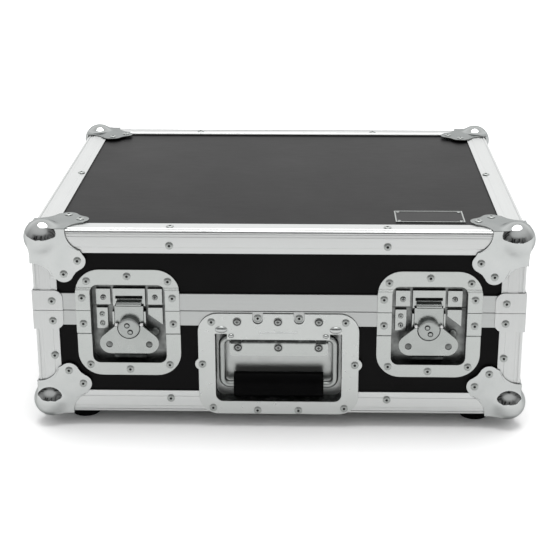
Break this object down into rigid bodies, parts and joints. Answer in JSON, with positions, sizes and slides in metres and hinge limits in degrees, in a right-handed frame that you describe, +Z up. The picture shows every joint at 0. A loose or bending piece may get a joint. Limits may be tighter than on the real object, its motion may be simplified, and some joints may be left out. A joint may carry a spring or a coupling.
{
  "type": "flight case",
  "caption": "Flight case for a record turntable, with ball corners, aluminium edges, a hinged lid, recessed butterfly latches and a recessed sprung handle.",
  "frame": {"origin": "centre of the footprint, on the ground under the feet", "axes": "+X to the right seen from the front, +Y to the hinges at the back, +Z up"},
  "size_m": [0.537, 0.457, 0.2325],
  "materials": {
    "laminate": "satin",
    "aluminium": "satin",
    "corner_chrome": "polished",
    "steel": "satin",
    "grip_rubber": "smooth",
    "foot_rubber": "matte",
    "foam": "matte"
  },
  "bodies": {
    "base": {"base_bottom_panel": "laminate", "base_front_panel": "laminate", "base_back_panel": "laminate", "base_right_panel": "laminate", "base_left_panel": "laminate", "base_edge_frame": "aluminium", "base_rim": "aluminium", "base_rim_front": "aluminium", "base_post_front_left": "aluminium", "base_post_front_right": "aluminium", "base_post_back_right": "aluminium", "base_post_back_left": "aluminium", "base_corner_front_left": "corner_chrome", "base_corner_front_right": "corner_chrome", "base_corner_back_right": "corner_chrome", "base_corner_back_left": "corner_chrome", "foot_front_left": "foot_rubber", "foot_front_right": "foot_rubber", "foot_back_right": "foot_rubber", "foot_back_left": "foot_rubber", "base_foam": "foam", "left_latch_base_dish": "steel", "right_latch_base_dish": "steel", "handle_dish": "steel", "handle_clamp_plate": "steel", "left_hinge_base_leaf": "steel", "right_hinge_base_leaf": "steel", "left_hinge_pin": "steel", "right_hinge_pin": "steel"},
    "lid": {"lid_top_panel": "laminate", "lid_front_panel": "laminate", "lid_back_panel": "laminate", "lid_right_panel": "laminate", "lid_left_panel": "laminate", "lid_edge_frame": "aluminium", "lid_rim": "aluminium", "lid_rim_front": "aluminium", "lid_post_front_left": "aluminium", "lid_post_front_right": "aluminium", "lid_post_back_right": "aluminium", "lid_post_back_left": "aluminium", "lid_corner_front_left": "corner_chrome", "lid_corner_front_right": "corner_chrome", "lid_corner_back_right": "corner_chrome", "lid_corner_back_left": "corner_chrome", "lid_foam": "foam", "left_latch_lid_dish": "steel", "right_latch_lid_dish": "steel", "left_hinge_lid_leaf": "steel", "right_hinge_lid_leaf": "steel"},
    "left_hub": {"left_latch_hub": "steel"},
    "left_wing": {"left_latch_wing": "steel"},
    "left_hook": {"left_latch_hook": "steel"},
    "right_hub": {"right_latch_hub": "steel"},
    "right_wing": {"right_latch_wing": "steel"},
    "right_hook": {"right_latch_hook": "steel"},
    "bail": {"handle_bail": "steel", "handle_grip": "grip_rubber"}
  },
  "joints": [
    {"name": "lid_hinge", "type": "hinge", "parent": "base", "child": "lid", "pos_m": [0, 0.2246, 0.1359], "axis": [-1, 0, 0], "range_deg": [0, 105]},
    {"name": "left_hub_turn", "type": "hinge", "parent": "base", "child": "left_hub", "pos_m": [-0.16, -0.22, 0.114], "axis": [0, 1, 0], "range_deg": [0, 180]},
    {"name": "left_wing_fold", "type": "hinge", "parent": "left_hub", "child": "left_wing", "pos_m": [-0.16, -0.2168, 0.1162], "axis": [-1, 0, 0], "range_deg": [0, 90]},
    {"name": "left_hook_slide", "type": "slide", "parent": "base", "child": "left_hook", "axis": [0, 0, 1], "range_m": [0, 0.008]},
    {"name": "right_hub_turn", "type": "hinge", "parent": "base", "child": "right_hub", "pos_m": [0.16, -0.22, 0.114], "axis": [0, 1, 0], "range_deg": [0, 180]},
    {"name": "right_wing_fold", "type": "hinge", "parent": "right_hub", "child": "right_wing", "pos_m": [0.16, -0.2168, 0.1162], "axis": [-1, 0, 0], "range_deg": [0, 90]},
    {"name": "right_hook_slide", "type": "slide", "parent": "base", "child": "right_hook", "axis": [0, 0, 1], "range_m": [0, 0.008]},
    {"name": "handle_swing", "type": "hinge", "parent": "base", "child": "bail", "pos_m": [0, -0.214, 0.102], "axis": [-1, 0, 0], "range_deg": [0, 90], "stiffness_Nm_per_rad": 0.3, "springref_deg": -11.46}
  ],
  "couplings": [
    {"joint": "left_hub_turn", "follows": "left_hook_slide", "rad_per_m": 392.7},
    {"joint": "right_hub_turn", "follows": "right_hook_slide", "rad_per_m": 392.7}
  ]
}
